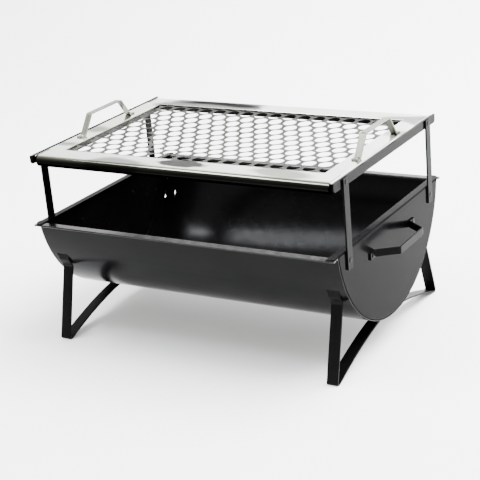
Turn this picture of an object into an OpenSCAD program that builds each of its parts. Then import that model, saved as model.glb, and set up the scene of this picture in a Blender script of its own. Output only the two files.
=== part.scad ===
// Tabletop charcoal grill: a half-round sheet trough on two sprung strap legs, with a
// parallelogram stand of four flat posts and two angle rails that carries a lift-off grill plate.
// X runs along the trough, Y to the back, Z up. The origin is on the ground below the centre.

/* [Trough] */
// Length over the two end plates
trough_len = 400; // [360:5:440]
// Outer radius of the curved sheet
trough_r = 140.5; // [130:0.5:150]
// Height of the rim plane above the ground
rim_z = 154; // [148:1:165]
// How far the sheet's centre of curvature lies above the rim plane
axis_rise = 20; // [15:1:30]
// Thickness of the painted sheet
sheet_t = 1.2; // [0.8:0.1:1.5]
// Width of the folded lips and end flanges
lip_w = 10; // [8:1:12]
// Depth of the skirt that fits an end plate inside the curved sheet
skirt_w = 7; // [6:1:7]

/* [Stand] */
// Width of the flat bar
bar_w = 12; // [10:1:14]
// Thickness of the flat bar
bar_t = 2; // [1.5:0.1:2]
// Distance of each post from the middle
post_y = 113; // [105:1:118]
// How far a post reaches below the rim
post_down = 22; // [20:1:24]
// Height of the grill plate's top above the rim
grill_up = 81.6; // [76:0.2:90]
// Half the length of a side rail
rail_half = 139; // [136:1:142]
// Height of a side rail
rail_h = 10.4; // [9:0.2:11]

/* [Grill plate] */
// Half the length of the grill plate's flat top
plate_x = 194; // [190:1:194]
// Half the depth of the grill plate over its rolled edges
plate_y = 137; // [132:1:138]
// Thickness of the stainless sheet
plate_t = 1; // [0.8:0.1:1.2]
// Half the length of the window over the mesh
window_x = 173; // [165:1:176]
// Half the depth of the window over the mesh
window_y = 105; // [98:1:108]
// Depth of the flange turned down round the window
flange_d = 7; // [3:0.5:8]
// Mesh pitch along the length
mesh_px = 20.25; // [18:0.05:24]
// Distance between two rows of mesh cells
mesh_row = 18.3; // [16:0.1:20]
// Where the pattern's first cell lies along the length
mesh_at_x = 6.2; // [0:0.1:20]
// Where the pattern's first cell lies along the depth
mesh_at_y = 19.3; // [0:0.1:20]
// Smallest width of a mesh strand
strand_w = 3.6; // [2.4:0.1:4.2]

/* [Handles] */
// Width of a handle strap
strap_w = 8.4; // [7:0.2:10]
// How far an end handle stands out
end_grip_out = 25; // [20:1:30]
// Height of an end handle's middle below the rim
end_grip_down = 28; // [24:1:32]
// Half the length of a handle's straight grip
grip_half = 32; // [28:1:34]
// Height of a plate handle above the plate
lift_grip_up = 24.5; // [20:0.5:30]

/* [Legs] */
// Width of a leg strap
leg_w = 14; // [12:0.5:15]
// Distance of a leg strap's middle from the trough's centre
leg_x = 183.5; // [170:0.5:183.5]
// Distance of a front foot from the middle
foot_front = 136; // [132:1:145]
// Distance of a rear foot from the middle
foot_rear = 143; // [132:1:145]

/* [Hidden] */
$fn = 96;
half = trough_len / 2;
axis_z = rim_z + axis_rise;
inner_r = trough_r - sheet_t;
lip_top = rim_z - sheet_t;
plate_top = rim_z + grill_up;
rail_top = plate_top + 0.3;
rail_bot = rail_top - rail_h;
rail_in = half - 2;
ledge_t = 2;
ledge_in = half - 14;
ledge_half = plate_y - 13.5;
pivot_low = rim_z - 12;
pivot_high = rail_bot + rail_h / 2;
pin_r = 2;
pin_gap = 0.06;
open_gap = 0.25;
head_r = 3.2;
head_t = 0.45;
roll_r = (plate_top - rail_bot) / 2 + 2;
roll_y = plate_y - roll_r;
fold_out = half - 2.5;
fold_r = fold_out - plate_x;
mesh_t = 1.2;
mesh_top = plate_top - plate_t - 1;
mesh_x = window_x;
mesh_y = window_y;
lift_x = half - 14;
foot_half = 49;
handle_t = 1.5;
end_z = rim_z - end_grip_down;
slot_a = 59.9;
eps = 0.01;

// Node to build, or all

// ---- helpers -------------------------------------------------------------------------------

// Unit vector, its left-hand normal, and the mitred corner at point i a distance d to the left
function unit(v) = v / norm(v);
function left(v) = [-v[1], v[0]];
function mitre(p, i, d) = let (
    last = len(p) - 1,
    a = left(unit(i > 0 ? p[i] - p[i - 1] : p[1] - p[0])),
    b = left(unit(i < last ? p[i + 1] - p[i] : p[last] - p[last - 1])),
    n = unit(a + b))
    p[i] + n * (d / (n * a));

// A bent flat strip of thickness t along a centreline, as a 2-D shape
module strip(p, t) {
    last = len(p) - 1;
    polygon(concat([for (i = [0 : last]) mitre(p, i, t / 2)],
        [for (i = [last : -1 : 0]) mitre(p, i, -t / 2)]));
}

// Stands a 2-D shape drawn in Y and Z up, and gives it a width along X, centred on x
module along_x(x, w) {
    translate([x - w / 2, 0, 0]) rotate([90, 0, 90]) linear_extrude(w) children();
}

// A point in Y and Z at radius r and angle a round the sheet's centre, from straight down
function on_arc(r, a) = [r * sin(a), axis_z - r * cos(a)];

// Mirrored copy for the left-hand end, or the part as drawn for the right
module side(s) {
    if (s < 0)
        mirror([1, 0, 0]) children();
    else
        children();
}

// A rivet along X: shank from x0 to x1, with a low head at each end
module rivet_x(x0, x1, y, z, r, hr, ht) {
    translate([x0, y, z]) rotate([0, 90, 0]) cylinder(r = r, h = x1 - x0, $fn = 48);
    translate([x1, y, z]) rotate([0, 90, 0]) low_head(hr, ht);
    translate([x0, y, z]) rotate([0, -90, 0]) low_head(hr, ht);
}

// A shallow domed rivet head with its flat side on the XY plane
module low_head(hr, ht = 0.9) {
    rotate_extrude($fn = 48)
        polygon([[0, 0], [hr, 0], [hr, ht * 0.35], [hr * 0.8, ht * 0.8],
            [hr * 0.45, ht], [0, ht]]);
}

// ---- trough --------------------------------------------------------------------------------

// The curved wall's section below the lips' tops
module wall_2d() {
    intersection() {
        translate([0, axis_z]) difference() {
            circle(r = trough_r, $fn = 180);
            circle(r = inner_r, $fn = 180);
        }
        translate([-trough_r, 0]) square([2 * trough_r, lip_top]);
    }
}

// One long edge: the sheet folded outward, then hemmed back under itself
module lip_2d(s) {
    wall_y = sqrt(pow(trough_r, 2) - pow(axis_z - lip_top, 2)) - 0.6;
    edge = 149;
    mirror([s < 0 ? 1 : 0, 0]) {
        translate([wall_y, lip_top - sheet_t]) square([edge - wall_y - 1, sheet_t]);
        translate([edge - 1.1, lip_top - 1.1]) circle(r = 1.1, $fn = 32);
        translate([edge - 5.5, lip_top - 2.2]) square([4.4, 1.3]);
    }
}

module trough_shell() {
    color([0.05, 0.05, 0.055])
    difference() {
        union() {
            along_x(0, trough_len) wall_2d();
            for (s = [-1, 1])
                along_x(0, trough_len - 0.6) lip_2d(s);
        }
        // slots that the leg straps hook through
        for (x = [-leg_x, leg_x], s = [-1, 1])
            translate([x, 0, axis_z]) rotate([s * slot_a, 0, 0]) translate([0, 0, -trough_r])
                cube([leg_w + 1.6, 10.5, 8], center = true);
        // holes for the leg rivets
        for (x = [-leg_x, leg_x])
            translate([x, 0, axis_z - trough_r - 3]) cylinder(r = pin_r, h = 8, $fn = 48);
    }
}

// Outline of an end plate: the round below, cut off flat at the rim
module end_2d(r, top) {
    intersection() {
        translate([0, axis_z]) circle(r = r, $fn = 180);
        translate([-r, 0]) square([2 * r, top]);
    }
}

module end_plate() {
    cap_r = inner_r - 0.05;
    difference() {
        union() {
            // flat end
            along_x(half - sheet_t / 2, sheet_t) end_2d(cap_r, rim_z);
            // skirt inside the curved sheet
            along_x(half - sheet_t - skirt_w / 2 + eps, skirt_w) difference() {
                end_2d(cap_r, lip_top - 2);
                end_2d(cap_r - sheet_t, lip_top);
            }
            // top flange, folded inward over the ends of the lips, with cut corners
            translate([0, 0, rim_z - sheet_t]) linear_extrude(sheet_t)
                polygon([[half, -142], [half, 142], [half - 6, 149], [half - lip_w, 149],
                    [half - lip_w, -149], [half - 6, -149]]);
        }
        for (s = [-1, 1]) {
            translate([half - 4, s * post_y, pivot_low]) rotate([0, 90, 0])
                cylinder(r = pin_r, h = 8, $fn = 48);
            translate([half - 4, s * (foot_half + 7), end_z]) rotate([0, 90, 0])
                cylinder(r = pin_r, h = 8, $fn = 48);
        }
    }
}

module end_plate_left() color([0.05, 0.05, 0.055]) side(-1) end_plate();
module end_plate_right() color([0.05, 0.05, 0.055]) side(1) end_plate();

// ---- legs ----------------------------------------------------------------------------------

// Half of the leg strap's centreline: flat under the trough's middle, out along the bar, a short
// flat foot, up the leg and through the slot to the hook inside
function bar_pt(f, u) = [(f - 1.6) * u, rim_z - 121.6 - (rim_z - 122.6) * pow(u, 1.6)];
function half_leg(f) = concat(
    [[5, rim_z - 121.6]],
    [for (i = [1 : 10]) bar_pt(f, i / 10)],
    [[f + 1.3, 1], [f + 2.4, 2.6], on_arc(143.4, 53.3), on_arc(trough_r + 1.3, 55.2),
        on_arc(trough_r + 1.3, 58.4), on_arc(inner_r - 1.3, 61.4), on_arc(inner_r - 1.3, 64.6)]);
front_leg = half_leg(foot_front);
leg_line = concat([for (i = [len(front_leg) - 1 : -1 : 0]) [-front_leg[i][0], front_leg[i][1]]],
    half_leg(foot_rear));

module leg_strap() {
    difference() {
        along_x(leg_x, leg_w) strip(leg_line, bar_t);
        translate([leg_x, 0, axis_z - trough_r - 8]) cylinder(r = pin_r, h = 12, $fn = 48);
    }
}

module leg_strap_left() color([0.05, 0.05, 0.05]) side(-1) leg_strap();
module leg_strap_right() color([0.05, 0.05, 0.05]) side(1) leg_strap();

module leg_rivets() {
    color([0.06, 0.06, 0.06])
    for (x = [-leg_x, leg_x]) {
        z0 = rim_z - 122.6;
        z1 = axis_z - inner_r + 0.06;
        translate([x, 0, z0]) cylinder(r = pin_r, h = z1 - z0, $fn = 48);
        translate([x, 0, z1]) low_head(4);
        translate([x, 0, z0]) mirror([0, 0, 1]) low_head(4);
    }
}

// ---- stand ---------------------------------------------------------------------------------

module post(y, open) {
    low = rim_z - post_down;
    difference() {
        translate([half, y - bar_w / 2, low]) cube([bar_t, bar_w, rail_top - 0.8 - low]);
        for (p = [[pivot_low, pin_gap], [pivot_high, open ? open_gap : pin_gap]])
            translate([half - 1, y, p[0]]) rotate([0, 90, 0])
                cylinder(r = pin_r + p[1], h = bar_t + 2, $fn = 48);
    }
}

module post_front_left() color([0.05, 0.05, 0.055]) side(-1) post(-post_y, false);
module post_rear_left() color([0.05, 0.05, 0.055]) side(-1) post(post_y, true);
module post_front_right() color([0.05, 0.05, 0.055]) side(1) post(-post_y, false);
module post_rear_right() color([0.05, 0.05, 0.055]) side(1) post(post_y, true);

// Four rivets that the posts turn on, fixed in the end plates
module post_rivets() {
    color([0.06, 0.06, 0.06])
    for (m = [-1, 1], y = [-post_y, post_y])
        side(m) rivet_x(half - sheet_t, half + bar_t + 0.1, y, pivot_low, pin_r, head_r,
            head_t);
}

// Angle rail: an upright web with rounded lower corners and a ledge that the plate rests on
module side_rail() {
    difference() {
        union() {
            translate([rail_in, 0, 0]) rotate([90, 0, 90]) linear_extrude(2) {
                translate([-rail_half, rail_bot + 4]) square([2 * rail_half, rail_h - 4]);
                translate([-rail_half + 4, rail_bot]) square([2 * rail_half - 8, rail_h]);
                for (s = [-1, 1])
                    translate([s * (rail_half - 4), rail_bot + 4]) circle(r = 4, $fn = 48);
            }
            translate([ledge_in, -ledge_half, rail_bot])
                cube([half - 1 - ledge_in, 2 * ledge_half, ledge_t]);
        }
        for (y = [-post_y, post_y])
            translate([half - 4, y, pivot_high]) rotate([0, 90, 0])
                cylinder(r = pin_r, h = 8, $fn = 48);
    }
}

module side_rail_left() color([0.05, 0.05, 0.055]) side(-1) side_rail();
module side_rail_right() color([0.05, 0.05, 0.055]) side(1) side_rail();

// Two rivets that join a rail to its posts; the inner heads are flush in the web
module rail_rivets() {
    for (y = [-post_y, post_y]) {
        translate([rail_in, y, pivot_high]) rotate([0, 90, 0])
            cylinder(r = pin_r, h = bar_t + 2.1, $fn = 48);
        translate([half + bar_t + 0.1, y, pivot_high]) rotate([0, 90, 0])
            low_head(head_r, head_t);
    }
}

module rail_rivets_left() color([0.06, 0.06, 0.06]) side(-1) rail_rivets();
module rail_rivets_right() color([0.06, 0.06, 0.06]) side(1) rail_rivets();

// ---- end handles ---------------------------------------------------------------------------

module end_handle() {
    base = half + 1;
    out = half + end_grip_out - 1;
    difference() {
        translate([0, 0, end_z - strap_w / 2]) linear_extrude(strap_w)
            strip([[base, -foot_half - 13], [base, -foot_half], [out, -grip_half],
                [out, grip_half], [base, foot_half], [base, foot_half + 13]], 2);
        for (s = [-1, 1])
            translate([half - 2, s * (foot_half + 7), end_z]) rotate([0, 90, 0])
                cylinder(r = pin_r, h = 8, $fn = 48);
    }
}

module end_handle_left() color([0.05, 0.05, 0.055]) side(-1) end_handle();
module end_handle_right() color([0.05, 0.05, 0.055]) side(1) end_handle();

module end_handle_rivets() {
    color([0.06, 0.06, 0.06])
    for (m = [-1, 1], y = [-foot_half - 7, foot_half + 7])
        side(m) rivet_x(half - sheet_t, half + 2, y, end_z, pin_r, 3.4, 0.8);
}

// ---- grill plate ---------------------------------------------------------------------------

// Front or rear edge rolled down into an open curl
module roll_2d(s) {
    mirror([s < 0 ? 1 : 0, 0]) translate([roll_y, plate_top - roll_r]) difference() {
        circle(r = roll_r, $fn = 64);
        circle(r = roll_r - plate_t, $fn = 64);
        // the curl stays open behind, from just past its lowest point up to the sheet
        translate([-2 * roll_r - 1.5, -2 * roll_r]) square([2 * roll_r, 4 * roll_r]);
        translate([-roll_r, -roll_r + plate_t]) square([roll_r - 1, 2 * roll_r - 2 * plate_t]);
    }
}

// Side edge folded over a small ridge and down on to the rail's ledge
module fold_2d() {
    difference() {
        union() {
            translate([plate_x, plate_top + 0.3 - fold_r]) circle(r = fold_r, $fn = 48);
            translate([fold_out - plate_t, rail_bot + ledge_t + 0.05])
                square([plate_t, rail_h - ledge_t - fold_r - 0.3]);
        }
        translate([plate_x, plate_top + 0.3 - fold_r]) circle(r = fold_r - plate_t, $fn = 48);
        translate([plate_x - 10, rail_bot]) square([10, rail_h + 1]);
        translate([plate_x - 1, rail_bot]) square([fold_r - plate_t + 1, rail_h - fold_r]);
    }
}

module grill_frame() {
    color([0.82, 0.82, 0.8]) {
        difference() {
            translate([-plate_x - 0.4, -roll_y, plate_top - plate_t])
                cube([2 * plate_x + 0.8, 2 * roll_y, plate_t]);
            translate([-window_x, -window_y, plate_top - 5])
                cube([2 * window_x, 2 * window_y, 10]);
            // relief slits at the corners, between the flat top and the side folds
            for (sx = [-1, 1], sy = [-1, 1])
                translate([sx * (plate_x - 0.6), sy * (roll_y - 12.5), plate_top])
                    cube([1.6, 27, 5], center = true);
            // holes for the handle rivets
            for (sx = [-1, 1], sy = [-1, 1])
                translate([sx * lift_x, sy * (foot_half + 4.5), plate_top - 5])
                    cylinder(r = 1.5, h = 10, $fn = 32);
        }
        // flange turned down round the window, which the mesh is welded into
        translate([0, 0, plate_top - plate_t - flange_d]) linear_extrude(flange_d + eps)
            difference() {
                square([2 * (window_x + plate_t), 2 * (window_y + plate_t)], center = true);
                square([2 * window_x, 2 * window_y], center = true);
            }
        for (s = [-1, 1])
            along_x(0, 2 * plate_x - 2.8) roll_2d(s);
        for (s = [-1, 1])
            mirror([s < 0 ? 1 : 0, 0, 0]) translate([0, plate_y - 1.5, 0])
                rotate([90, 0, 0]) linear_extrude(2 * plate_y - 3) fold_2d();
    }
}

// Flattened expanded metal: rounded cells in staggered rows, trimmed to fit between the flanges
module grill_mesh() {
    nx = ceil(mesh_x / mesh_px) + 2;
    ny = ceil(mesh_y / mesh_row) + 2;
    color([0.7, 0.7, 0.7])
    translate([0, 0, mesh_top - mesh_t]) linear_extrude(mesh_t)
    difference() {
        square([2 * mesh_x, 2 * mesh_y], center = true);
        intersection() {
            square([2 * mesh_x - 4, 2 * mesh_y - 4], center = true);
            union()
                for (j = [-ny : ny], i = [-nx : nx])
                    translate([mesh_at_x + (i + (j % 2 == 0 ? 0 : 0.5)) * mesh_px,
                        mesh_at_y + j * mesh_row])
                        circle(d = mesh_px - strand_w, $fn = 48);
        }
    }
}

module grill_handle(s) {
    low = plate_top + handle_t / 2;
    high = plate_top + lift_grip_up - handle_t / 2;
    difference() {
        along_x(s * lift_x, strap_w)
            strip([[-foot_half - 8.5, low], [-foot_half, low], [-grip_half, high],
                [grip_half, high], [foot_half, low], [foot_half + 8.5, low]], handle_t);
        for (sy = [-1, 1])
            translate([s * lift_x, sy * (foot_half + 4.5), plate_top - 1])
                cylinder(r = 1.5, h = 5, $fn = 32);
    }
}

module grill_handle_left() color([0.62, 0.62, 0.57]) grill_handle(-1);
module grill_handle_right() color([0.62, 0.62, 0.57]) grill_handle(1);

module grill_handle_rivets() {
    color([0.7, 0.7, 0.68])
    for (sx = [-1, 1], sy = [-1, 1])
        translate([sx * lift_x, sy * (foot_half + 4.5), plate_top - plate_t]) {
            cylinder(r = 1.5, h = plate_t + handle_t, $fn = 32);
            translate([0, 0, plate_t + handle_t]) low_head(2.6);
            mirror([0, 0, 1]) low_head(2.6);
        }
}

trough_shell();
end_plate_left();
end_plate_right();
leg_strap_left();
leg_strap_right();
leg_rivets();
post_front_left();
post_rear_left();
post_front_right();
post_rear_right();
post_rivets();
side_rail_left();
side_rail_right();
rail_rivets_left();
rail_rivets_right();
end_handle_left();
end_handle_right();
end_handle_rivets();
grill_frame();
grill_mesh();
grill_handle_left();
grill_handle_right();
grill_handle_rivets();
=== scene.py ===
import math

import bmesh
import bpy
from mathutils import Matrix, Vector


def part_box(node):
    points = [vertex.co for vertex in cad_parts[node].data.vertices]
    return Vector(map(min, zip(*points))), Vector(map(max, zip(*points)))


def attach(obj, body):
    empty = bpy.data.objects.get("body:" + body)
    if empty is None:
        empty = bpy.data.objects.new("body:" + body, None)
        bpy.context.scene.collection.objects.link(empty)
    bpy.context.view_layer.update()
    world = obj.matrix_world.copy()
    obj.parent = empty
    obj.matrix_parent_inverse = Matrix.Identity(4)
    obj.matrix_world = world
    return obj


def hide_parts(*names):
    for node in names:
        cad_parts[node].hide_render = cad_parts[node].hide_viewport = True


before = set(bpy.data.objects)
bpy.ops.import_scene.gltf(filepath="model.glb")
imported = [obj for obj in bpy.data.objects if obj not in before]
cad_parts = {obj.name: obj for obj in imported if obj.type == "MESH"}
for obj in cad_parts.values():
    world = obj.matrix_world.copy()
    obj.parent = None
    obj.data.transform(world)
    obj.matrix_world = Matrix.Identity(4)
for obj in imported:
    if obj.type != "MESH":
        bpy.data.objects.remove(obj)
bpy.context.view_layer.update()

MM = 0.001

# ---- sizes, in millimetres, read from the CAD where it gives them ---------------------------


def box_mm(node):
    lo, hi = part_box(node)
    return [v / MM for v in lo], [v / MM for v in hi]


HALF = box_mm("trough_shell")[1][0]  # half the trough's length
LIP_Y = box_mm("trough_shell")[1][1]  # how far its lips reach to the front and the rear
RIM = box_mm("end_plate_right")[1][2]  # top of the trough
FLANGE_IN = box_mm("end_plate_right")[0][0]  # where an end plate's flange stops inwards
PLATE_LOW, PLATE_HIGH = box_mm("grill_frame")
RAIL_LOW, RAIL_HIGH = box_mm("side_rail_right")
POST_LOW, POST_HIGH = box_mm("post_front_right")
LEG_LOW, LEG_HIGH = box_mm("leg_strap_right")
GRIP_LOW, GRIP_HIGH = box_mm("end_handle_right")
LIFT_LOW, LIFT_HIGH = box_mm("grill_handle_right")
MESH_HIGH = box_mm("grill_mesh")[1]
RAIL_RIVET_LOW, RAIL_RIVET_HIGH = box_mm("rail_rivets_right")
POST_RIVET_LOW, POST_RIVET_HIGH = box_mm("post_rivets")

AXIS_Z = RIM + 20.0  # centre line of the trough's curve
TROUGH_R = 140.5
SHEET = 1.2
WALL_R = TROUGH_R - 0.55  # middle of the trough's sheet
LIP_MID = RIM - SHEET - 0.5  # middle of the folded lips' sheet
SLOT_A = 59.9  # degrees round from the trough's lowest point to a leg slot
POST_Y = 113.0
BAR_T = 2.0  # sheet of the posts, rails, legs and end handles
HALF_PLATE_T = 0.5  # half of the plate's sheet
HANDLE_FOOT, HANDLE_GRIP = 49.0, 32.0  # half lengths of a bent handle at its feet and at its grip
PIVOT_LOW_Z = (POST_RIVET_LOW[2] + POST_RIVET_HIGH[2]) / 2
PIVOT_HIGH_Z = (RAIL_RIVET_LOW[2] + RAIL_RIVET_HIGH[2]) / 2
PLATE_TOP = PLATE_HIGH[2] - 0.3  # the flat border lies a little below the side folds
LEG_X = (LEG_LOW[0] + LEG_HIGH[0]) / 2
LEG_HALF = (LEG_HIGH[0] - LEG_LOW[0]) / 2
LIFT_X = (LIFT_LOW[0] + LIFT_HIGH[0]) / 2
LIFT_HALF = (LIFT_HIGH[0] - LIFT_LOW[0]) / 2
WINDOW_X, WINDOW_Y = 173.0, 105.0  # half sizes of the window in the plate
WINDOW_BEND = 0.6  # radius at which its edge turns down
FRONT_FOOT, REAR_FOOT = 136.0, 143.0  # reach of a leg's feet from the middle
LEG_UNDER = RIM - 122.6  # underside of a leg strap below the trough

# ---- materials ------------------------------------------------------------------------------


def new_material(name):
    mat = bpy.data.materials.new(name)
    mat.use_nodes = True
    tree = mat.node_tree
    bsdf = tree.nodes["Principled BSDF"]
    return mat, tree, bsdf


def coords(tree, scale):
    """Object coordinates, stretched by scale, in metres."""
    tc = tree.nodes.new("ShaderNodeTexCoord")
    mp = tree.nodes.new("ShaderNodeMapping")
    mp.inputs["Scale"].default_value = scale
    tree.links.new(tc.outputs["Object"], mp.inputs["Vector"])
    return mp.outputs["Vector"]


def component(tree, vector, axis):
    """One coordinate of a vector, by its letter."""
    apart = tree.nodes.new("ShaderNodeSeparateXYZ")
    tree.links.new(vector, apart.inputs[0])
    return apart.outputs[axis]


def noise(tree, vector, scale, detail, rough=0.5):
    n = tree.nodes.new("ShaderNodeTexNoise")
    n.inputs["Scale"].default_value = scale
    n.inputs["Detail"].default_value = detail
    n.inputs["Roughness"].default_value = rough
    tree.links.new(vector, n.inputs["Vector"])
    return n.outputs["Fac"]


def ramp(tree, fac, stops):
    """Colours by position; the first and last stops are the ramp's ends."""
    r = tree.nodes.new("ShaderNodeValToRGB")
    tree.links.new(fac, r.inputs["Fac"])
    e = r.color_ramp.elements
    e[0].position, e[0].color = stops[0][0], (*stops[0][1], 1)
    e[1].position, e[1].color = stops[-1][0], (*stops[-1][1], 1)
    for p, c in stops[1:-1]:
        k = e.new(p)
        k.color = (*c, 1)
    return r.outputs["Color"]


def spread(tree, fac, low, high, a=0.3, b=0.7):
    """Maps a to low and b to high."""
    m = tree.nodes.new("ShaderNodeMapRange")
    m.inputs["From Min"].default_value = a
    m.inputs["From Max"].default_value = b
    m.inputs["To Min"].default_value = low
    m.inputs["To Max"].default_value = high
    tree.links.new(fac, m.inputs["Value"])
    return m.outputs["Result"]


def blot(tree, at, size, colour):
    """A darker patch with a ragged border, centred on a place of the piece."""
    v = coords(tree, (1 / size[0], 1 / size[1], 0))
    v.node.inputs["Location"].default_value = (-at[0] / size[0], -at[1] / size[1], 0)
    far = tree.nodes.new("ShaderNodeVectorMath")
    far.operation = "LENGTH"
    tree.links.new(v, far.inputs[0])
    total = tree.nodes.new("ShaderNodeMath")
    total.operation = "ADD"
    tree.links.new(far.outputs["Value"], total.inputs[0])
    tree.links.new(spread(tree, noise(tree, coords(tree, (1, 1, 1)), 28, 3), 0.0, 0.6), total.inputs[1])
    border = spread(tree, total.outputs["Value"], 0.0, 1.0, 1.15, 1.3)
    return ramp(tree, border, [(0.0, colour), (1.0, (1, 1, 1))])


def multiply(tree, a, b):
    m = tree.nodes.new("ShaderNodeMix")
    m.data_type = "RGBA"
    m.blend_type = "MULTIPLY"
    m.inputs["Factor"].default_value = 1.0
    tree.links.new(a, m.inputs["A"])
    tree.links.new(b, m.inputs["B"])
    return m.outputs["Result"]


def bump(tree, bsdf, height, strength, distance, into=None):
    """Relief, laid over the relief given in into."""
    b = tree.nodes.new("ShaderNodeBump")
    b.inputs["Strength"].default_value = strength
    b.inputs["Distance"].default_value = distance
    tree.links.new(height, b.inputs["Height"])
    if into is not None:
        tree.links.new(into, b.inputs["Normal"])
    tree.links.new(b.outputs["Normal"], bsdf.inputs["Normal"])
    return b.outputs["Normal"]


def gloss_paint(name, dark, light, rough_low, rough_high, peel=0.05, gloss=0.25, rim=None):
    """Stoved black enamel: slightly uneven gloss, orange peel and sheet waviness.

    rim gives two heights and the gloss above the upper one, where a stronger gloss makes a painted sheen.
    """
    mat, tree, bsdf = new_material(name)
    v = coords(tree, (1, 1, 1))
    tone = noise(tree, v, 14, 4)
    tree.links.new(ramp(tree, tone, [(0.3, dark), (0.7, light)]), bsdf.inputs["Base Color"])
    patch = noise(tree, v, 45, 5, 0.6)
    tree.links.new(spread(tree, patch, rough_low, rough_high), bsdf.inputs["Roughness"])
    bsdf.inputs["IOR"].default_value = 1.5
    bsdf.inputs["Specular IOR Level"].default_value = gloss
    if rim:
        low, high, above = rim
        level = spread(tree, component(tree, v, "Z"), gloss, above, low, high)
        tree.links.new(level, bsdf.inputs["Specular IOR Level"])
    first = bump(tree, bsdf, noise(tree, v, 9, 1), 0.12, 0.0012)
    bump(tree, bsdf, noise(tree, v, 520, 2), peel, 0.0004, first)
    return mat


def steel(name, base_low, base_high, rough_low, rough_high, grain, strength=0.06, painted_shade_and_marks=None, tint=1.0):
    """Stainless with fine drawn grain along one direction.

    The painted-shade argument gives two heights and the colours between them: painted reflection and
    shade that darken the metal, and the tint of its reflections, towards the bottom. It also brings
    random smudges and two darker patches with it.
    """
    mat, tree, bsdf = new_material(name)
    bsdf.inputs["Metallic"].default_value = 1.0
    bsdf.inputs["Specular Tint"].default_value = (tint, tint, tint, 1)
    v = coords(tree, (1, 1, 1))
    tone = ramp(tree, noise(tree, v, 11, 4), [(0.3, base_low), (0.7, base_high)])
    if painted_shade_and_marks:
        low, high, shade = painted_shade_and_marks
        # painted reflection and shade: colour and reflection tint darken towards the bottom of the piece
        painted_shade_by_height = ramp(tree, spread(tree, component(tree, v, "Z"), 0.0, 1.0, low, high), shade)
        smudge = ramp(tree, noise(tree, coords(tree, (0.7, 1.6, 1)), 9, 1.5, 0.4),
                      [(0.36, (0.5, 0.5, 0.5)), (0.41, (1, 1, 1)), (1.0, (1, 1, 1))])
        # two darker patches, on the rear and the front border
        rear = blot(tree, (-0.1, 0.114), (0.085, 0.036), (0.42, 0.42, 0.428))
        front = blot(tree, (-0.004, -0.117), (0.038, 0.0125), (0.26, 0.26, 0.265))
        for factor in (painted_shade_by_height, smudge, rear, front):
            tone = multiply(tree, tone, factor)
        tree.links.new(tone, bsdf.inputs["Specular Tint"])
    tree.links.new(tone, bsdf.inputs["Base Color"])
    lines = noise(tree, coords(tree, grain), 1.0, 4, 0.65)
    tree.links.new(spread(tree, lines, rough_low, rough_high), bsdf.inputs["Roughness"])
    first = bump(tree, bsdf, noise(tree, v, 7, 1), 0.1, 0.001)
    bump(tree, bsdf, lines, strength, 0.0002, first)
    return mat


BLACK = ((0.0008, 0.0008, 0.001), (0.002, 0.002, 0.0023))
BAR_BLACK = ((0.0008, 0.0008, 0.001), (0.002, 0.002, 0.0022))
LEG_BLACK = ((0.0006, 0.0006, 0.0007), (0.0015, 0.0015, 0.0016))
RIVET_BLACK = ((0.0008, 0.0008, 0.0009), (0.002, 0.002, 0.002))
# painted sheen: the lip tops get a stronger gloss than the rest of the sheet
LIP_PAINTED_SHEEN = ((LIP_MID - 2.6) * MM, (LIP_MID - 0.6) * MM, 0.22)
M_BODY = gloss_paint("body_enamel", *BLACK, 0.14, 0.23, gloss=0.056, rim=LIP_PAINTED_SHEEN)
M_END = gloss_paint("end_enamel", *BLACK, 0.14, 0.23, gloss=0.0125)
M_STAND = gloss_paint("stand_enamel", *BAR_BLACK, 0.14, 0.24, gloss=0.023)
M_HANDLE = gloss_paint("handle_enamel", *BAR_BLACK, 0.14, 0.24, gloss=0.025)
M_LEG = gloss_paint("leg_enamel", *LEG_BLACK, 0.32, 0.46, 0.08, 0.042)
M_RIVET = gloss_paint("rivet_enamel", *RIVET_BLACK, 0.2, 0.3, gloss=0.026)

# The rolled edges go from bright at the top to nearly black underneath, a painted reflection and shade
# set by height
ROLL_PAINTED_STOPS = [
    (0.0, (0.003, 0.003, 0.003)),
    (0.5, (0.004, 0.004, 0.004)),
    (0.72, (0.009, 0.009, 0.008)),
    (0.84, (0.05, 0.05, 0.042)),
    (0.93, (0.15, 0.15, 0.12)),
    (0.975, (0.4, 0.4, 0.34)),
    (1.0, (1, 1, 1)),
]
# heights over which the painted reflection and shade runs from nearly black up to bright
ROLL_PAINTED_SHADING = (PLATE_LOW[2] * MM, (PLATE_TOP - 0.15) * MM, ROLL_PAINTED_STOPS)
M_SHEET = steel("bright_sheet", (0.86, 0.86, 0.84), (0.96, 0.96, 0.95), 0.06, 0.13, (8, 900, 900),
                painted_shade_and_marks=ROLL_PAINTED_SHADING)
# the window's turned-down edge belongs to the same bright sheet; its near-black colour is painted shade
# under the border
M_FLANGE_IN_PAINTED_SHADE = steel("flange_in_painted_shade", (0.008, 0.008, 0.007), (0.02, 0.02, 0.018), 0.2, 0.34, (30, 30, 700))
M_MESH = steel("mesh_steel", (0.05, 0.05, 0.046), (0.12, 0.12, 0.11), 0.22, 0.38, (300, 300, 300),
               strength=0.1, tint=0.5)
M_STRAP = steel("strap_steel", (0.11, 0.11, 0.09), (0.19, 0.19, 0.16), 0.22, 0.36, (900, 12, 12))
M_PIN = steel("pin_steel", (0.2, 0.2, 0.18), (0.3, 0.3, 0.28), 0.22, 0.34, (400, 400, 400))

# ---- mesh helpers ---------------------------------------------------------------------------

BEVEL_OVER = 38.0  # degrees; gentler bends keep no bevel
ROUND = 28  # sides of a shank or a rivet head
# A pan head's outline, as parts of its radius and of its height
HEAD = [(1, 0), (1, 0.28), (0.95, 0.52), (0.82, 0.78), (0.6, 0.93), (0.3, 1)]


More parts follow.
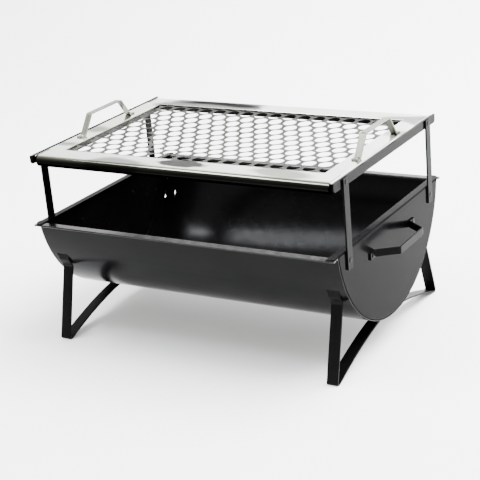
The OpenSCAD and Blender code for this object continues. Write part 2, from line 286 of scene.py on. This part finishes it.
def make(name, bm, mat, body, stands_for, edge, thick=0.0, steps=2, even=True):
    """Turns a bmesh in millimetres into a finished piece with a thickness and eased edges."""
    bmesh.ops.remove_doubles(bm, verts=bm.verts, dist=0.004)
    bmesh.ops.recalc_face_normals(bm, faces=bm.faces)
    bmesh.ops.scale(bm, vec=(MM, MM, MM), verts=bm.verts)
    me = bpy.data.meshes.new(name)
    bm.to_mesh(me)
    bm.free()
    for p in me.polygons:
        p.use_smooth = True
    me.materials.append(mat)
    o = bpy.data.objects.new(name, me)
    bpy.context.collection.objects.link(o)
    if thick:
        m = o.modifiers.new("sheet", "SOLIDIFY")
        m.thickness = thick * MM
        m.offset = 0.0
        m.use_even_offset = even
        m.use_rim = True
    if edge:
        m = o.modifiers.new("edges", "BEVEL")
        m.width = edge * MM
        m.segments = steps
        m.limit_method = "ANGLE"
        m.angle_limit = math.radians(BEVEL_OVER)
        m.miter_outer = "MITER_ARC"
        m.use_clamp_overlap = True
    m = o.modifiers.new("shading", "WEIGHTED_NORMAL")
    m.keep_sharp = False
    m.weight = 60
    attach(o, body)
    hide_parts(*stands_for)


def fillet(points, radii, steps):
    """Rounds the corners of an open 2-D line; radii is one radius or one for each point."""
    out = [Vector(points[0])]
    for i in range(1, len(points) - 1):
        p, a, b = Vector(points[i]), Vector(points[i - 1]), Vector(points[i + 1])
        r = radii[i] if isinstance(radii, (list, tuple)) else radii
        u, v = (a - p).normalized(), (b - p).normalized()
        turn = math.acos(max(-1.0, min(1.0, u.dot(v))))
        if r <= 0 or turn > math.radians(178):
            out.append(p)
            continue
        cut = min(r / math.tan(turn / 2), (a - p).length * 0.49, (b - p).length * 0.49)
        rr = cut * math.tan(turn / 2)
        c = p + (u + v).normalized() * (rr / math.sin(turn / 2))
        s, e = p + u * cut - c, p + v * cut - c
        a0 = math.atan2(s.y, s.x)
        da = (math.atan2(e.y, e.x) - a0 + math.pi) % (2 * math.pi) - math.pi
        for k in range(steps + 1):
            t = a0 + da * k / steps
            out.append(c + Vector((math.cos(t), math.sin(t))) * rr)
    out.append(Vector(points[-1]))
    return out


def offset_line(line, d):
    """The line moved sideways by d, with mitred corners."""
    out = []
    for i, p in enumerate(line):
        a = (p - line[i - 1]).normalized() if i > 0 else (line[1] - line[0]).normalized()
        b = (line[i + 1] - p).normalized() if i < len(line) - 1 else a
        na, nb = Vector((-a.y, a.x)), Vector((-b.y, b.x))
        n = (na + nb).normalized()
        out.append(p + n * (d / max(0.3, n.dot(na))))
    return out


def band(line, t):
    """Closed outline of a strip of thickness t along a 2-D line."""
    return offset_line(line, t / 2) + list(reversed(offset_line(line, -t / 2)))


def circle(cx, cy, r, n=32):
    """Points round a circle, anticlockwise."""
    turns = [2 * math.pi * k / n for k in range(n)]
    return [Vector((cx + r * math.cos(t), cy + r * math.sin(t))) for t in turns]


def arc(start, sweep, n):
    """The cosines and sines of n steps of a turn, in degrees from start."""
    for k in range(n + 1):
        t = math.radians(start + sweep * k / n)
        yield math.cos(t), math.sin(t)


def join_rings(bm, rings):
    """Quads from each closed ring of vertices to the next."""
    n = len(rings[0])
    for a, b in zip(rings, rings[1:]):
        for k in range(n):
            bm.faces.new((a[k], a[(k + 1) % n], b[(k + 1) % n], b[k]))


def lathe(bm, axis, sections):
    """A closed round body about an axis, through sections of (centre, radius, height above it)."""
    turn = Vector((0, 0, 1)).rotation_difference(Vector(axis)).to_matrix()
    rings = []
    for centre, r, z in sections:
        points = [Vector((p.x, p.y, z)) for p in circle(0, 0, r, ROUND)]
        rings.append([bm.verts.new(Vector(centre) + turn @ p) for p in points])
    join_rings(bm, rings)
    bm.faces.new(rings[-1])
    bm.faces.new(list(reversed(rings[0])))


def rivet(bm, a, b, r, head_r, head_h, both=True):
    """A shank from a to b with a pan head at b, and one at a."""
    a, b = Vector(a), Vector(b)
    axis = (b - a).normalized()
    lathe(bm, axis, [(a, r, 0), (b, r, 0)])
    for at, way in ((b, axis), (a, -axis))[:2 if both else 1]:
        lathe(bm, way, [(at, head_r * wide, head_h * tall) for wide, tall in HEAD])


def plate(bm, loops, low, high, place):
    """A flat plate between low and high; the first loop is its outline, the others are holes."""
    rings = []
    edges = []
    for loop in loops:
        vs = [bm.verts.new(place(p[0], p[1], low)) for p in loop]
        rings.append(vs)
        edges += [bm.edges.new((vs[i], vs[(i + 1) % len(vs)])) for i in range(len(vs))]
    if len(loops) == 1:
        faces = [bm.faces.new(rings[0])]
    else:
        made = bmesh.ops.triangle_fill(bm, use_beauty=True, use_dissolve=False, edges=edges)
        faces = [g for g in made["geom"] if isinstance(g, bmesh.types.BMFace)]
    top = {}
    for ring, loop in zip(rings, loops):
        for v, p in zip(ring, loop):
            top[v] = bm.verts.new(place(p[0], p[1], high))
    for f in faces:
        bm.faces.new([top[v] for v in reversed(f.verts)])
    for ring in rings:
        n = len(ring)
        for i in range(n):
            a, b = ring[i], ring[(i + 1) % n]
            bm.faces.new((a, b, top[b], top[a]))


def upright(s):
    """Stands a plate drawn in (y, z) at a distance along x, on the side s."""
    return lambda p, q, w: (s * w, p, q)


def level(s):
    """Lays a plate drawn in (x, y) at a height, mirrored to the side s."""
    return lambda p, q, w: (s * p, q, w)


def grid(bm, rows, keep=None):
    """Quads between equal rows of points; keep(i, j) says which cells exist."""
    vs = [[bm.verts.new(p) for p in row] for row in rows]
    for i in range(len(rows) - 1):
        for j in range(len(rows[0]) - 1):
            if keep is None or keep(i, j):
                bm.faces.new((vs[i][j], vs[i][j + 1], vs[i + 1][j + 1], vs[i + 1][j]))
    loose = [v for row in vs for v in row if not v.link_faces]
    bmesh.ops.delete(bm, geom=loose, context="VERTS")


def rect(x0, x1, y0, y1, radii, steps=5):
    """Rectangle outline with a radius for each corner, from the low-low one, anticlockwise."""
    pts = []
    for (cx, cy, a0), r in zip(((x0, y0, 180), (x1, y0, 270), (x1, y1, 0), (x0, y1, 90)), radii):
        if r <= 0:
            pts.append(Vector((cx, cy)))
            continue
        ox = cx + (r if cx == x0 else -r)
        oy = cy + (r if cy == y0 else -r)
        for k in range(steps + 1):
            t = math.radians(a0 + 90 * k / steps)
            pts.append(Vector((ox + r * math.cos(t), oy + r * math.sin(t))))
    return pts


def on_arc(r, a):
    """The point (y, z) at radius r, a degrees round the trough's curve from its lowest point."""
    a = math.radians(a)
    return Vector((r * math.sin(a), AXIS_Z - r * math.cos(a)))


# ---- trough ---------------------------------------------------------------------------------


def trough():
    """One sheet: hem, lip, wall, lip, hem, swept along the length, with four slots cut in it."""
    dz = AXIS_Z - LIP_MID
    corner = math.sqrt(WALL_R ** 2 - dz ** 2)
    top_a = math.degrees(math.acos(dz / WALL_R))
    half_slot = 2.2  # degrees
    fold = 1.1  # the hem doubles the sheet back under the lip
    bend_y, bend_z = LIP_Y - fold, LIP_MID - fold / 2
    hem = [Vector((LIP_Y - 5.6, LIP_MID - fold)), Vector((bend_y, LIP_MID - fold))]
    hem += [Vector((bend_y + fold / 2 * c, bend_z + fold / 2 * d)) for c, d in list(arc(-90, 180, 6))[1:]]
    below_a = top_a - 2.2
    lip = fillet([hem[-1], Vector((corner, LIP_MID)), on_arc(WALL_R, below_a)], 1.4, 5)[1:-1]
    # rows of the wall down to its lowest point, one exactly on each end of a slot and none close to it
    marks = [SLOT_A + half_slot, SLOT_A - half_slot]
    pitch = 1.9  # degrees
    angles = [below_a]
    a = top_a - 4.5
    while a > -0.01:
        angles.append(a)
        a -= pitch
    angles = {round(x, 4) for x in angles if all(abs(x - m) > 0.9 for m in marks)} | set(marks)
    angles = [x for x in sorted(angles, reverse=True) if x > 0.5]
    right = hem + lip + [on_arc(WALL_R, x) for x in angles]
    line = right + [Vector((0, AXIS_Z - WALL_R))] + [Vector((-p.x, p.y)) for p in reversed(right)]
    first = len(hem) + len(lip)
    at = [first + i for i, x in enumerate(angles) if x in marks]
    last = len(line) - 1
    cut_rows = {(at[0], at[1]), (last - at[1], last - at[0])}
    w = LEG_HALF + 0.8  # half of a slot along x
    slot = [LEG_X - w, LEG_X - w + 1, LEG_X + w - 1, LEG_X + w]
    half = [60, 120] + slot + [HALF - 1.2, HALF - 0.3]
    xs = [-x for x in reversed(half)] + [0] + half

    def keep(i, j):
        in_x = LEG_X - w - 0.01 < abs((xs[i] + xs[i + 1]) / 2) < LEG_X + w + 0.01
        in_a = any(lo <= j < hi for lo, hi in cut_rows)
        return not (in_x and in_a)

    bm = bmesh.new()
    grid(bm, [[(x, p.x, p.y) for p in line] for x in xs], keep)
    make("trough_sheet", bm, M_BODY, "trough", ["trough_shell"], thick=1.05, edge=0.25)


def end_plate(s, name):
    """Pressed end: a disc with a skirt turned in under the sheet and a flange folded over its lips."""
    skirt_r = TROUGH_R - SHEET - 0.66
    skirt_in = HALF - 8.6
    face_x = HALF - 0.6
    bend = 1.6
    bend_x = face_x - bend
    disc_r = skirt_r - bend
    flange_z = RIM - 0.6
    fold_z = flange_z - bend
    top_a = math.degrees(math.acos((AXIS_Z - fold_z) / disc_r))
    sides = 110
    angs = [math.radians(-top_a + 2 * top_a * k / sides) for k in range(sides + 1)]
    bm = bmesh.new()

    def face(points):
        bm.faces.new([bm.verts.new((s * x, y, z)) for x, y, z in points])

    def curve(r, x):
        return [(x, r * math.sin(a), AXIS_Z - r * math.cos(a)) for a in angs]

    def sheet(rows):
        grid(bm, [[(s * x, y, z) for x, y, z in row] for row in rows])

    disc = curve(disc_r, face_x)
    face(disc)
    bent = [curve(disc_r + bend * d, bend_x + bend * c) for c, d in arc(0, 90, 4)]
    sheet(bent + [curve(skirt_r, skirt_in)])
    y0 = disc[-1][1]
    sheet([[(bend_x + bend * c, y, fold_z + bend * d) for y in (-y0, y0)] for c, d in arc(0, 90, 4)])
    # the flange widens over the hemmed lips, with a cut corner
    pts = [(bend_x, -y0), (bend_x, y0), (face_x + 0.3, y0 + 1.2), (face_x + 0.5, LIP_Y - 6.5)]
    pts += [(HALF - 1.2, LIP_Y - 4.6), (HALF - 5.6, LIP_Y - 0.4), (HALF - 6.6, LIP_Y - 0.1)]
    pts += [(FLANGE_IN, LIP_Y - 0.1)]
    face([(x, y, flange_z) for x, y in pts + [(x, -y) for x, y in reversed(pts[2:])]])
    make(name, bm, M_END, "trough", [name.replace("_pressing", "")], thick=1.15, edge=0.22)


# ---- stand ----------------------------------------------------------------------------------


def post(s, f, name, body, node):
    """Upright bar outside the trough, with a rivet hole at each end."""
    y = f * POST_Y
    half = 6
    upper_r = 2.06 if f < 0 else 2.25  # the rear posts hang looser on the rail
    loop = rect(y - half, y + half, POST_LOW[2], POST_HIGH[2], (0.9, 0.9, 0.9, 0.9), 4)
    holes = [circle(y, PIVOT_LOW_Z, 2.06), circle(y, PIVOT_HIGH_Z, upper_r)]
    bm = bmesh.new()
    plate(bm, [loop] + holes, HALF, HALF + BAR_T, upright(s))
    make(name, bm, M_STAND, body, [node], edge=0.28)


def rail(s, name, body, node):
    """Angle rail: an upright side with two rivet holes and a ledge that carries the plate."""
    half = RAIL_HIGH[1]
    z0, z1 = RAIL_LOW[2], RAIL_HIGH[2]
    loop = rect(-half, half, z0, z1, (4, 4, 1.0, 1.0), 7)
    holes = [circle(f * POST_Y, PIVOT_HIGH_Z, 2.02) for f in (-1, 1)]
    bm = bmesh.new()
    plate(bm, [loop] + holes, HALF - BAR_T, HALF, upright(s))
    ledge_y = 123.5
    plate(bm, [rect(RAIL_LOW[0], HALF - 1, -ledge_y, ledge_y, (2, 0, 0, 2), 5)], z0, z0 + BAR_T, level(s))
    make(name, bm, M_STAND, body, [node], edge=0.28)


# ---- legs and handles -----------------------------------------------------------------------


def half_leg(foot):
    """Half of a leg strap's centreline: bar, flat foot, leg and hook, with a corner radius for each."""
    middle = LEG_UNDER + BAR_T / 2
    pts = [(Vector((5.0, middle)), 0.0)]
    steps = 14
    for k in range(1, steps + 1):
        u = k / steps
        p = Vector(((foot - 1.6) * u, middle - LEG_UNDER * u ** 1.6))
        pts.append((p, 0.0 if k < steps else 1.4))
    pts += [(Vector((foot + 1.3, BAR_T / 2)), 1.2), (Vector((foot + 2.4, 2.6)), 1.4)]
    # up outside the trough, through the slot and on along its inside
    outside, inside = TROUGH_R + 1.3, TROUGH_R - 2.5
    hook = [(143.4, 53.3, 3.0), (outside, 55.2, 3.0), (outside, 58.4, 3.0)]
    hook += [(inside, 61.4, 3.0), (inside, 64.6, 0.0)]
    return pts + [(on_arc(r, a), bend) for r, a, bend in hook]


def leg(s, name, node):
    """One strap bent into both legs of a side."""
    front, rear = half_leg(FRONT_FOOT), half_leg(REAR_FOOT)
    pts = [(Vector((-p.x, p.y)), r) for p, r in reversed(front)] + rear
    line = fillet([p for p, r in pts], [r for p, r in pts], 5)
    bm = bmesh.new()
    plate(bm, [band(line, BAR_T)], LEG_LOW[0], LEG_HIGH[0], upright(s))
    make(name, bm, M_LEG, "trough", [node], edge=0.3)


def end_handle(s, name, node):
    """Bent strap on an end plate, standing out from it."""
    base = HALF + BAR_T / 2
    out = GRIP_HIGH[0] - BAR_T / 2
    half = [(out, HANDLE_GRIP), (base, HANDLE_FOOT), (base, HANDLE_FOOT + 13)]
    line = fillet([(x, -y) for x, y in reversed(half)] + half, [0, 2.6, 3.2, 3.2, 2.6, 0], 6)
    bm = bmesh.new()
    plate(bm, [band(line, BAR_T)], GRIP_LOW[2], GRIP_HIGH[2], level(s))
    make(name, bm, M_HANDLE, "trough", [node], edge=0.32)


def lift_handle(s, name, node):
    """Bent strap on the grill plate, standing up from it."""
    strap_t = 1.5
    low = PLATE_TOP + 0.78
    high = LIFT_HIGH[2] - strap_t / 2
    half = [(HANDLE_GRIP, high), (HANDLE_FOOT, low), (HANDLE_FOOT + 8.5, low)]
    line = fillet([(-y, z) for y, z in reversed(half)] + half, [0, 2.2, 3.0, 3.0, 2.2, 0], 6)
    bm = bmesh.new()
    plate(bm, [band(line, strap_t)], s * LIFT_X - LIFT_HALF, s * LIFT_X + LIFT_HALF, upright(1))
    make(name, bm, M_STRAP, "grill_plate", [node], edge=0.3)


# ---- grill plate ----------------------------------------------------------------------------


def window_bend(bm, z):
    """The border's edge turned down round the window, a strip for each side."""
    for k in range(4):
        turn = Matrix.Rotation(math.radians(90 * k), 3, "Z")
        across, along_by = (WINDOW_X, WINDOW_Y) if k % 2 == 0 else (WINDOW_Y, WINDOW_X)
        rows = []
        for c, d in arc(0, 90, 5):
            out, drop = HALF_PLATE_T + WINDOW_BEND * (1 - d), WINDOW_BEND * (1 - c)
            ends = (-along_by - out, along_by + out)
            rows.append([turn @ Vector((across + out, y, z - drop)) for y in ends])
        grid(bm, rows)


def rolled_edge(bm, f, xs, roll_r, roll_y):
    """The front or rear edge rolled under, its last part drawn in a little."""
    prof = []
    for k, (c, d) in enumerate(arc(90, -255, 22)):
        r = roll_r - HALF_PLATE_T - max(0, k - 16) * 0.06
        prof.append((f * (roll_y + r * c), PLATE_TOP - roll_r + r * d))
    grid(bm, [[(x, y, z) for y, z in prof] for x in xs])


def folded_side(bm, s, ys, start_x):
    """The side edge folded down to just above the rail's ledge."""
    r = PLATE_HIGH[0] - start_x - HALF_PLATE_T
    z = PLATE_HIGH[2] - HALF_PLATE_T - r
    prof = [(s * (start_x + r * c), z + r * d) for c, d in arc(90, -90, 8)]
    prof.append((s * (start_x + r), RAIL_LOW[2] + 2.3))
    grid(bm, [[(x, y, low) for x, low in prof] for y in ys])


def grill_frame():
    """Bright sheet: a flat border round the window, rolled front and rear, folded sides, slit corners."""
    z = PLATE_TOP - HALF_PLATE_T
    wx, wy = WINDOW_X, WINDOW_Y
    depth = PLATE_HIGH[1]
    roll_r = (PLATE_TOP - PLATE_LOW[2]) / 2
    roll_y = depth - roll_r
    slit_y = roll_y - 22  # the corner is cut from here outwards, between the two x below
    slit_x0, slit_x1 = 192.6, 194.0
    around = HALF_PLATE_T + WINDOW_BEND
    half_x = [60, wx + around, wx + 8, slit_x0, slit_x1]
    half_y = [40, wy + around, wy + 1.8, slit_y, roll_y]
    xs = [-x for x in reversed(half_x)] + half_x
    ys = [-y for y in reversed(half_y)] + half_y

    def keep(i, j):
        cx, cy = abs(xs[i] + xs[i + 1]) / 2, abs(ys[j] + ys[j + 1]) / 2
        if cx < wx + 1 and cy < wy + 1:
            return False
        return not (cx > slit_x0 and cy > slit_y)

    def lift(x):
        return z + (0.3 if abs(x) > slit_x0 + 0.1 else 0.0)

    bm = bmesh.new()
    grid(bm, [[(x, y, lift(x)) for y in ys] for x in xs], keep)
    window_bend(bm, z)
    for f in (-1, 1):
        rolled_edge(bm, f, [x for x in xs if abs(x) <= slit_x0 + 0.01], roll_r, roll_y)
    for s in (-1, 1):
        folded_side(bm, s, [-depth + 2.0] + ys + [depth - 2.0], slit_x1)
    make("plate_sheet", bm, M_SHEET, "grill_plate", ["grill_frame"],
         thick=0.95, edge=0.22)
    bm = bmesh.new()
    ex, ey = wx + HALF_PLATE_T, wy + HALF_PLATE_T
    edge = [(ex, -ey), (ex, ey), (-ex, ey), (-ex, -ey), (ex, -ey)]
    grid(bm, [[(x, y, z - drop) for x, y in edge] for drop in (0.55, 2.5, 5.0, 7.5)])
    # near-black steel here is painted shade under the border
    make("window_flange", bm, M_FLANGE_IN_PAINTED_SHADE, "grill_plate", ["grill_frame"],
         thick=0.9, edge=0.2)


def expanded_mesh():
    """Expanded metal: rounded cells in staggered rows, each strand tilted a little, sagging a little."""
    pitch, row = 20.25, 18.3
    first_x, first_y = 6.2, 19.3  # the middle of one cell
    sag = 4.1
    top = MESH_HIGH[2] + 0.3
    reach_x, reach_y = MESH_HIGH[0] - 0.4, MESH_HIGH[1] - 0.4
    # six corners where three cells meet, and three points between each two
    tip = (pitch ** 2 / 4 + row ** 2) / (2 * row)
    x, y = pitch / 2, row - tip
    corners = [(x, y), (0, tip), (-x, y), (-x, -y), (0, -tip), (x, -y)]
    outer = []
    for (x0, y0), (x1, y1) in zip(corners, corners[1:] + corners[:1]):
        outer += [(x0 + (x1 - x0) * m / 4, y0 + (y1 - y0) * m / 4) for m in range(4)]

    def at(cx, cy, p, rise):
        x, y = cx + p[0], cy + p[1]
        bow = max(0.0, 1 - (x / WINDOW_X) ** 2) * max(0.0, 1 - (y / WINDOW_Y) ** 2)
        return (x, y, top - sag * bow + rise)

    def strand(cx, cy, grow, lift):
        """A ring round the hole, tilted from one side of the cell to the other."""
        for x, y in outer:
            a = math.atan2(y, x)
            r = grow * (8.1 + 0.5 * abs(math.sin(a)))
            yield at(cx, cy, (r * math.cos(a), r * math.sin(a)), 0.4 * lift * math.sin(a))

    bm = bmesh.new()
    for j in range(-8, 6):
        for i in range(-10, 11):
            cx = first_x + (i + (0.5 if j % 2 else 0.0)) * pitch
            cy = first_y + j * row
            if abs(cx) > reach_x + 12 or abs(cy) > reach_y + 12:
                continue
            loops = [strand(cx, cy, *shape) for shape in ((1.0, 1.0), (1.09, 0.82), (1.2, 0.45))]
            loops.append([at(cx, cy, p, 0.0) for p in outer])
            join_rings(bm, [[bm.verts.new(p) for p in loop] for loop in loops])
    bmesh.ops.remove_doubles(bm, verts=bm.verts, dist=0.02)
    for axis, reach in ((Vector((1, 0, 0)), reach_x), (Vector((0, 1, 0)), reach_y)):
        for way in (-1, 1):
            every = bm.verts[:] + bm.edges[:] + bm.faces[:]
            bmesh.ops.bisect_plane(bm, geom=every, dist=0.01, plane_co=axis * reach * way,
                                   plane_no=axis * way, clear_outer=True)
    bmesh.ops.dissolve_degenerate(bm, edges=bm.edges, dist=0.02)
    make("expanded_sheet", bm, M_MESH, "grill_plate", ["grill_mesh"], thick=0.8, edge=0.2,
         steps=1, even=False)


# ---- rivets ---------------------------------------------------------------------------------


def rivets():
    """One piece for each set of rivets, which joins the parts of one body or turns with one rail."""
    sides, ends = (-1, 1), (-1, 1)
    inner, outer = HALF - SHEET, HALF + BAR_T + 0.08
    bm = bmesh.new()
    for s in sides:
        for f in ends:
            y, z = f * POST_Y, PIVOT_LOW_Z
            rivet(bm, (s * inner, y, z), (s * outer, y, z), 2.0, 3.15, 0.42)
    make("post_rivet_set", bm, M_RIVET, "trough", ["post_rivets"], edge=0)
    for s, side in zip(sides, ("left", "right")):
        bm = bmesh.new()
        for f in ends:
            y, z = f * POST_Y, PIVOT_HIGH_Z
            rivet(bm, (s * (HALF - BAR_T), y, z), (s * outer, y, z), 2.0, 3.15, 0.42, both=False)
        make("rail_rivet_set_" + side, bm, M_RIVET, side + "_rail", ["rail_rivets_" + side],
             edge=0)
    bm = bmesh.new()
    for s in sides:
        for f in ends:
            y, z = f * (HANDLE_FOOT + 7), (GRIP_LOW[2] + GRIP_HIGH[2]) / 2
            rivet(bm, (s * inner, y, z), (s * (HALF + BAR_T), y, z), 1.95, 3.3, 0.75)
    make("end_handle_rivet_set", bm, M_RIVET, "trough", ["end_handle_rivets"], edge=0)
    bm = bmesh.new()
    for s in sides:
        rivet(bm, (s * LEG_X, 0, LEG_UNDER), (s * LEG_X, 0, AXIS_Z - TROUGH_R + SHEET), 1.95, 4.0, 0.85)
    make("leg_rivet_set", bm, M_RIVET, "trough", ["leg_rivets"], edge=0)
    bm = bmesh.new()
    for s in sides:
        for f in ends:
            x, y = s * LIFT_X, f * (HANDLE_FOOT + 4.5)
            rivet(bm, (x, y, PLATE_TOP - 1), (x, y, PLATE_TOP + 1.52), 1.45, 2.5, 0.8)
    make("lift_handle_rivet_set", bm, M_PIN, "grill_plate", ["grill_handle_rivets"],
         edge=0)


trough()
for s, side in ((-1, "left"), (1, "right")):
    end_plate(s, "end_plate_" + side + "_pressing")
    leg(s, "leg_" + side, "leg_strap_" + side)
    rail(s, "rail_" + side, side + "_rail", "side_rail_" + side)
    end_handle(s, "trough_handle_" + side, "end_handle_" + side)
    lift_handle(s, "lift_handle_" + side, "grill_handle_" + side)
    for f, end in ((-1, "front"), (1, "rear")):
        post(s, f, "post_bar_" + end + "_" + side, end + "_" + side + "_post", "post_" + end + "_" + side)
grill_frame()
expanded_mesh()
rivets()

# ---- floor, light and camera ----------------------------------------------------------------


def stage_floor():
    """A seamless pale sweep: flat under the grill, rising far behind it. Its front edge, towards the
    camera, turns dark grey: painted shade of a dim front of the room.
    """
    bm = bmesh.new()
    flat, bend, top, half = 3.0, 2.5, 7.0, 9.0
    prof = [(-0.95, 0.0)] + [(flat + bend * d, bend - bend * c) for c, d in arc(0, 90, 12)]
    prof.append((flat + bend, top))
    grid(bm, [[(x, y, z) for y, z in prof] for x in (-half, half)])
    bmesh.ops.recalc_face_normals(bm, faces=bm.faces)
    me = bpy.data.meshes.new("floor")
    bm.to_mesh(me)
    bm.free()
    for p in me.polygons:
        p.use_smooth = True
    mat, tree, bsdf = new_material("pale_sweep")
    v = coords(tree, (1, 1, 1))
    tone = ramp(tree, noise(tree, v, 3, 3), [(0.3, (0.88, 0.88, 0.88)), (0.7, (0.90, 0.90, 0.90))])
    # painted shade: the floor turns dark grey towards the camera, for the trough and plate to reflect
    near = spread(tree, component(tree, v, "Y"), 0.0, 1.0, -0.8, -0.45)
    painted_shade_mix = tree.nodes.new("ShaderNodeMix")
    painted_shade_mix.data_type = "RGBA"
    painted_shade_mix.inputs["A"].default_value = (0.28, 0.28, 0.27, 1)
    tree.links.new(near, painted_shade_mix.inputs["Factor"])
    tree.links.new(tone, painted_shade_mix.inputs["B"])
    tree.links.new(painted_shade_mix.outputs["Result"], bsdf.inputs["Base Color"])
    bsdf.inputs["Roughness"].default_value = 0.9
    bsdf.inputs["Specular IOR Level"].default_value = 0.1
    me.materials.append(mat)
    o = bpy.data.objects.new("floor", me)
    bpy.context.collection.objects.link(o)


def area(name, at, target, size, power, colour=(1, 1, 1)):
    """A rectangular light, aimed at a point."""
    data = bpy.data.lights.new(name, "AREA")
    data.shape = "RECTANGLE"
    data.size, data.size_y = size
    data.energy = power
    data.color = colour
    o = bpy.data.objects.new(name, data)
    o.location = at
    o.rotation_mode = "QUATERNION"
    o.rotation_quaternion = (Vector(target) - Vector(at)).to_track_quat("-Z", "Y")
    bpy.context.collection.objects.link(o)


stage_floor()

# The room: bright all round, with a dim part above the front
world = bpy.data.worlds.new("studio")
bpy.context.scene.world = world
world.use_nodes = True
wt = world.node_tree
bg = wt.nodes["Background"]
bg.inputs["Strength"].default_value = 1.0
where = wt.nodes.new("ShaderNodeTexCoord").outputs["Generated"]


def along(axis):
    """How far a direction in the room points along an axis."""
    dot = wt.nodes.new("ShaderNodeVectorMath")
    dot.operation = "DOT_PRODUCT"
    dot.inputs[1].default_value = axis
    wt.links.new(where, dot.inputs[0])
    return dot.outputs["Value"]


DIM = (0.26, 0.26, 0.25)
DIM_STOPS = [(0.0, (0.24, 0.24, 0.23)), (0.3, DIM), (0.6, DIM), (1.0, (0.3, 0.3, 0.3))]
height = ramp(wt, along((0, 0, 1)), DIM_STOPS)
front = spread(wt, along((0.1, -0.75, 0.65)), 0.0, 1.0, -0.3, 0.1)
mix = wt.nodes.new("ShaderNodeMix")
mix.data_type = "RGBA"
mix.inputs["A"].default_value = (1.0, 1.0, 1.0, 1)
wt.links.new(front, mix.inputs["Factor"])
wt.links.new(height, mix.inputs["B"])
scale = wt.nodes.new("ShaderNodeVectorMath")
scale.operation = "SCALE"
scale.inputs["Scale"].default_value = 6.5
wt.links.new(mix.outputs["Result"], scale.inputs[0])
wt.links.new(scale.outputs["Vector"], bg.inputs["Color"])
area("overhead", (0.9, 0.6, 2.2), (0, 0.1, 0.1), (2.0, 1.8), 330)
area("backdrop", (0, 2.0, 3.6), (0, 5.3, 1.6), (4.5, 1.0), 900)
area("side", (2.2, 1.0, 1.3), (0, 0, 0.1), (1.6, 1.6), 60)
area("softbox", (-0.86, -0.58, 1.85), (0, 0.05, 0.15), (1.0, 0.35), 50, (0.92, 0.96, 1.0))

# The camera: where it stands, and how it is turned and rolled
STAND_AT = Vector((0.80024, -1.31019, 0.51555 + RIM * MM))
AZ, EL, ROLL = math.radians(31.51), math.radians(20.27), math.radians(-5.1)
look = Vector((-math.sin(AZ) * math.cos(EL), math.cos(AZ) * math.cos(EL), -math.sin(EL)))
r0 = look.cross(Vector((0, 0, 1))).normalized()
u0 = r0.cross(look)
right = r0 * math.cos(ROLL) + u0 * math.sin(ROLL)
up = -r0 * math.sin(ROLL) + u0 * math.cos(ROLL)
cam_data = bpy.data.cameras.new("view")
cam_data.sensor_width = 36.0
cam_data.lens = 99.95
cam_data.shift_x, cam_data.shift_y = -0.0018, -0.0018
cam_data.clip_start, cam_data.clip_end = 0.05, 60
cam = bpy.data.objects.new("view", cam_data)
cam.matrix_world = Matrix((
    (right.x, up.x, -look.x, STAND_AT.x),
    (right.y, up.y, -look.y, STAND_AT.y),
    (right.z, up.z, -look.z, STAND_AT.z),
    (0, 0, 0, 1),
))
bpy.context.collection.objects.link(cam)
bpy.context.scene.camera = cam
